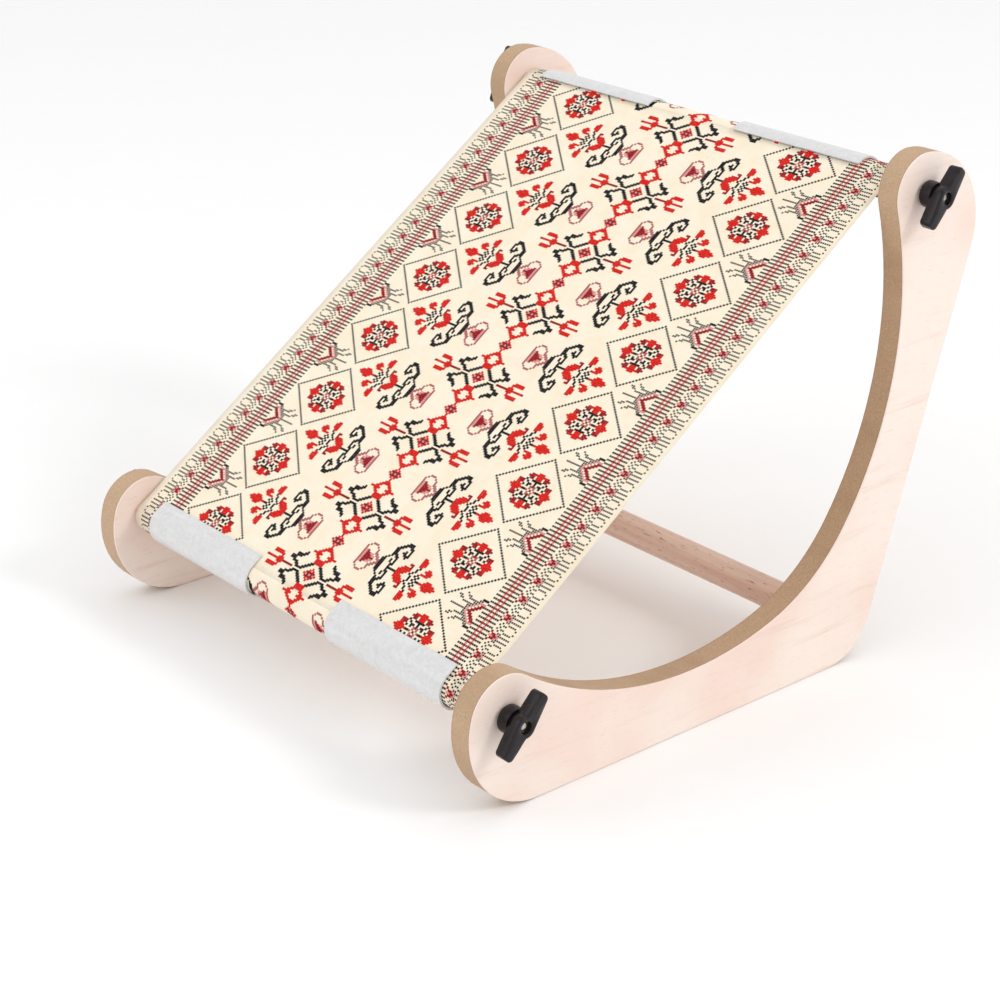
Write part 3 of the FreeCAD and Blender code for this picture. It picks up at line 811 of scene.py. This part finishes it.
# %% Ladders, hearts and hairs
LADDER = 84
for row in range(0, HALF_REPEAT + 1, 2):
    stroke("rung", 1.0, (LADDER - 4, row), (LADDER - 2, row))
    stroke("rung", 1.0, (LADDER + 2, row), (LADDER + 4, row))
    spot("crimson", (LADDER - 1, row), (LADDER + 1, row))
    spot("hair", (LADDER, row))
for row in range(1, HALF_REPEAT, 2):
    spot("pink", (LADDER - 1, row), (LADDER + 1, row))
for heart in (5, 15):
    stroke("crimson", 1.2, (89, heart - 2), (91.6, heart), (89, heart + 2))
    stroke("pink", 1.0, (90, heart), (89, heart))
    spot("pink", (93, heart), (92, heart - 1), (92, heart + 1))
    for side in (-1, 1):
        stroke("fringe", 0.9, (90, heart + side * 4), (92, heart + side * 2), (94, heart + side))
        stroke("fringe", 0.9, (94, heart + side), (98, heart + side))
        stroke("fringe", 0.9, (91, heart + side * 5), (94, heart + side * 3))
        stroke("fringe", 0.9, (94, heart + side * 3), (97, heart + side * 3))
        stroke("fringe", 0.9, (97, heart + side * 3), (98, heart + side * 4))
chart = {square: shade for square, shade in chart.items() if shade != "cream"}
print(f"{len(chart)} squares drawn for one folded strip")

# %% [markdown]
# ## Stitches
# The embroidery is cotton in nine shades. Each has a colour, and a size that says how much of
# its square a stitch fills: fine lines are sewn with thinner thread. Dark and light threads
# become separate pieces.

# %% Threads
THREADS = {
    "black": (colour(20, 19, 24), 1.0),
    "red": (colour(216, 24, 14), 1.0),
    "crimson": (colour(150, 18, 30), 1.0),
    "rose": (colour(176, 96, 98), 0.9),
    "pink": (colour(226, 150, 146), 0.9),
    "moss": (colour(30, 34, 32), 0.88),
    "rung": (colour(26, 26, 30), 0.8),
    "fringe": (colour(38, 40, 44), 0.72),
    "hair": (colour(36, 38, 42), 0.74),
}
DARK_THREADS = ("black", "moss", "rung", "fringe", "hair")
LIGHT_THREADS = tuple(shade for shade in THREADS if shade not in DARK_THREADS)
print(f"{len(THREADS)} threads")

# %% [markdown]
# Each stitch is a cross of two raised strands. There are thousands, so Geometry Nodes make
# them: a mesh of loose points carries each stitch's colour and lean, and the tree puts one
# cross on each point, leans it with the cloth and realizes the result. The second strand lies
# over the first, and a small random turn keeps the stitches from looking stamped.

# %% Cross-stitch node tree
STRAND_SHARE, UNDER, OVER, WOBBLE = 0.92, 1.0, 1.9, 0.07


def stitch_tree(material):
    """Geometry Nodes that put a cross of two strands on every point."""
    group = bpy.data.node_groups.new("cross_stitches", "GeometryNodeTree")
    face = group.interface
    face.new_socket("Geometry", in_out="INPUT", socket_type="NodeSocketGeometry")
    for name in ("Column", "Row", "Strand", "Rise"):
        face.new_socket(name, in_out="INPUT", socket_type="NodeSocketFloat")
    face.new_socket("Geometry", in_out="OUTPUT", socket_type="NodeSocketGeometry")
    tree = Tree(group)
    given = tree.node("NodeGroupInput")
    column, row, strand, rise = (given.other(n) for n in ("Column", "Row", "Strand", "Rise"))
    length = (column * column + row * row).root() * STRAND_SHARE
    lean = row.calc("ARCTAN2", row, column)
    grid = tree.node(
        "GeometryNodeMeshGrid",
        None,
        {"Size X": length, "Size Y": strand, "Vertices X": 2, "Vertices Y": 3},
    )
    place = tree.node("ShaderNodeSeparateXYZ", None, {0: tree.node("GeometryNodeInputPosition")})
    is_ridge = strand * 0.25 > abs(place.other("Y"))
    legs = []
    for turn, level in ((lean, UNDER), (0 - lean, OVER)):
        raised = tree.node("ShaderNodeCombineXYZ", None, {2: is_ridge * rise * level})
        ridge = tree.node("GeometryNodeSetPosition", None, {"Geometry": grid, "Offset": raised})
        euler = tree.node("ShaderNodeCombineXYZ", None, {2: turn})
        legs.append(
            tree.node("GeometryNodeTransform", None, {"Geometry": ridge, "Rotation": euler})
        )
    cross = tree.node("GeometryNodeJoinGeometry")
    for leg in legs:
        group.links.new(leg.link, cross.link.node.inputs[0])
    tilt = tree.node("GeometryNodeInputNamedAttribute", {"data_type": "FLOAT"}, {"Name": "lean"})
    size = tree.node("GeometryNodeInputNamedAttribute", {"data_type": "FLOAT"}, {"Name": "size"})
    scale = tree.node("ShaderNodeCombineXYZ", None, {0: size, 1: size, 2: size})
    wobble = tree.node(
        "FunctionNodeRandomValue",
        {"data_type": "FLOAT"},
        {"Min": -WOBBLE, "Max": WOBBLE, "Seed": 11},
        output=1,
    )
    turned = tree.node("ShaderNodeCombineXYZ", None, {0: tilt, 2: wobble})
    rotation = tree.node("FunctionNodeEulerToRotation", None, {0: turned})
    placed = tree.node(
        "GeometryNodeInstanceOnPoints",
        None,
        {"Points": given, "Instance": cross, "Rotation": rotation, "Scale": scale},
    )
    real = tree.node("GeometryNodeRealizeInstances", None, {0: placed})
    finished = tree.node("GeometryNodeSetMaterial", None, {"Geometry": real, "Material": material})
    end = group.nodes.new("NodeGroupOutput")
    group.links.new(finished.link, end.inputs[0])
    return group


# %% [markdown]
# Cotton thread is matt and slightly uneven in tone. Its colour comes from the dye attribute
# that each stitch carries, so one material serves every shade.

# %% Cotton thread
thread = Finish("cotton_thread", Roughness=0.75, Specular_IOR_Level=0.2)
dye = thread.node("ShaderNodeAttribute", {"attribute_name": "dye"})
strands = thread.noise(thread.place(), 2600.0, 2.0)
tone = thread.mix(strands.ramp(0.3, 0.7), (0.8, 0.8, 0.8, 1), (1.12, 1.12, 1.12, 1))
shaded = thread.node(
    "ShaderNodeMix",
    {"data_type": "RGBA", "blend_type": "MULTIPLY"},
    {0: 1.0, 6: dye, 7: tone},
    output=2,
)
thread.feed("Base Color", shaded)
thread.bump(strands, 0.05 * MM, 0.5)
crosses = stitch_tree(thread.material)

# %% [markdown]
# One function sews one colour family on one part of the cloth. It walks the squares, looks each
# one up in the chart, gives the tree its points and keeps the plain mesh that comes out. On the
# reverse the stitches lie under the cloth and face down.

# %% Lay the stitches on the cloth
LEFT = math.ceil((CLOTH_LOW - CHART_X) / COLUMN)
RIGHT = math.floor((CLOTH_HIGH - CHART_X) / COLUMN)
STRAND, RISE, OFF_CLOTH = 1.05 * MM, 0.1 * MM, 0.02 * MM


def stitches(name, part, first, last, shades, reverse=False):
    """Points for one colour family on one part of the cloth, turned into stitches."""
    lift, flip = (-CLOTH_THICK - OFF_CLOTH, math.pi) if reverse else (OFF_CLOTH, 0)
    places, leans, sizes, dyes = [], [], [], []
    start = math.ceil((first - CHART_LENGTH) / ROW)
    stop = math.floor((last - CHART_LENGTH) / ROW)
    for row in range(start, stop + 1):
        for column in range(LEFT, RIGHT + 1):
            shade = chart.get(fold(column, row))
            if shade in shades:
                length = CHART_LENGTH + row * ROW
                where, lean = cloth_at(CHART_X + column * COLUMN, length, part, lift)
                places.append(where)
                leans.append(lean + flip)
                sizes.append(THREADS[shade][1])
                dyes.extend(THREADS[shade][0])
    mesh = bpy.data.meshes.new(name + "_points")
    mesh.from_pydata(places, [], [])
    mesh.attributes.new("lean", "FLOAT", "POINT").data.foreach_set("value", leans)
    mesh.attributes.new("size", "FLOAT", "POINT").data.foreach_set("value", sizes)
    mesh.attributes.new("dye", "FLOAT_COLOR", "POINT").data.foreach_set("color", dyes)
    points = bpy.data.objects.new(name + "_points", mesh)
    bpy.context.scene.collection.objects.link(points)
    modifier = points.modifiers.new("stitches", "NODES")
    modifier.node_group = crosses
    inputs = {"Column": COLUMN, "Row": ROW, "Strand": STRAND, "Rise": RISE}
    for item in crosses.interface.items_tree:
        if item.in_out == "INPUT" and item.name in inputs:
            modifier[item.identifier] = inputs[item.name]
    ready = points.evaluated_get(bpy.context.evaluated_depsgraph_get())
    cross_mesh = bpy.data.meshes.new_from_object(ready)
    cross_mesh.name = name
    bpy.data.objects.remove(points)
    bpy.data.meshes.remove(mesh)
    print(f"{name}: {len(places)} stitches, {len(cross_mesh.polygons)} faces")
    return new_object(name, cross_mesh, thread)


# %% [markdown]
# The panel and both rolls are sewn on their outer side. The panel's underside carries the same
# crosses, which is simpler than the back of real embroidery. They stay clear of the rolls, so
# that the rolls can turn.

# %% Sew the three parts
STITCHED = 1.1 * math.tau * ROLL_RADIUS
CLEAR_OF_ROLLS = 12 * MM
STRETCHES = {
    "panel": (0, SPAN),
    "front": (-STITCHED, 0),
    "rear": (SPAN, SPAN + STITCHED),
}
sewn = {}
for part, (first, last) in STRETCHES.items():
    sewn[part] = [
        stitches(f"dark_stitches_{part}", part, first, last, DARK_THREADS),
        stitches(f"red_stitches_{part}", part, first, last, LIGHT_THREADS),
    ]
for family, shades in (("dark", DARK_THREADS), ("red", LIGHT_THREADS)):
    name = f"{family}_reverse_panel"
    limits = (CLEAR_OF_ROLLS, SPAN - CLEAR_OF_ROLLS)
    sewn["panel"].append(stitches(name, "panel", *limits, shades, reverse=True))

# %% [markdown]
# The stretched sheet belongs to the frame and each roll to its roller, and the stitches ride
# with the sheet they are sewn on. Each sheet's flat size is worked out as well, which for a roll
# is the length measured along the middle of its thickness.

# %% Fasten the cloth to its bodies
cloths = {"panel": (panel, "frame", "cloth_panel")}
for roller in AXIS:
    cloths[roller] = (rolls[roller], f"{roller}_roller", f"cloth_roll_{roller}")
for part, (sheet, body, node) in cloths.items():
    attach(sheet, body)
    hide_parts(node)
    for piece in sewn[part]:
        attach(piece, body)
    length = SPAN if part == "panel" else ROLL_LENGTH
    rests = ["roller_front", "roller_rear"] if part == "panel" else [f"roller_{part}"]
print(f"{len(cloths)} sheets fastened")

# %% [markdown]
# ## Studio
# A pale floor, a bright even sky and two large soft lights: a key from the right and behind,
# which throws the knobs' short shadows forward, and a fill from the front. The Standard view
# shows white as white.

# %% Floor and lights
floor_finish = Finish("pale_floor", Roughness=0.6)
grit = floor_finish.noise(floor_finish.place(), 30.0, 2.0)
floor_finish.feed(
    "Base Color", floor_finish.mix(grit, colour(251, 251, 251), colour(253, 253, 253))
)
FLOOR = 6.0
floor_mesh = bpy.data.meshes.new("floor")
floor_mesh.from_pydata(
    [(-FLOOR, -FLOOR, 0), (FLOOR, -FLOOR, 0), (FLOOR, FLOOR, 0), (-FLOOR, FLOOR, 0)],
    [],
    [(0, 1, 2, 3)],
)
floor = new_object("floor", floor_mesh, floor_finish)
floor.location.z = -0.2 * MM
MIDDLE_OF_FRAME = Vector((0, 0, 0.16))


def soft_light(name, place, size, power):
    """A square area light that looks at the frame."""
    lamp = bpy.data.lights.new(name, "AREA")
    lamp.size, lamp.energy = size, power
    made = bpy.data.objects.new(name, lamp)
    made.location = place
    towards = MIDDLE_OF_FRAME - made.location
    made.rotation_euler = towards.to_track_quat("-Z", "Y").to_euler()
    bpy.context.scene.collection.objects.link(made)


soft_light("key", Vector((3.0, 1.3, 2.6)), 1.0, 38)
soft_light("fill", Vector((-0.9, -1.7, 1.5)), 1.4, 7)
world = bpy.data.worlds.new("studio")
bpy.context.scene.world = world
world.use_nodes = True
world.node_tree.nodes["Background"].inputs["Color"].default_value = (1, 1, 1, 1)
world.node_tree.nodes["Background"].inputs["Strength"].default_value = 0.9
bpy.context.scene.view_settings.view_transform = "Standard"
print(f"{len(bpy.data.lights)} lights")

# %% [markdown]
# The camera stands in front of the frame, to its right and above it. Its long lens keeps the two
# boards nearly parallel.

# %% Camera
EYE = Vector((1.2089, -1.0652, 0.7858))
AZIMUTH, ELEVATION, ROLL = (math.radians(angle) for angle in (48.80, 18.77, 0.57))
camera = bpy.data.cameras.new("camera")
camera.lens, camera.sensor_width = 87.04, 36
camera.shift_x, camera.shift_y = -0.02, -0.2
viewer = bpy.data.objects.new("camera", camera)
look = Matrix.Rotation(AZIMUTH, 4, "Z") @ Matrix.Rotation(math.pi / 2 - ELEVATION, 4, "X")
viewer.matrix_world = Matrix.Translation(EYE) @ look @ Matrix.Rotation(ROLL, 4, "Z")
bpy.context.scene.collection.objects.link(viewer)
bpy.context.scene.camera = viewer
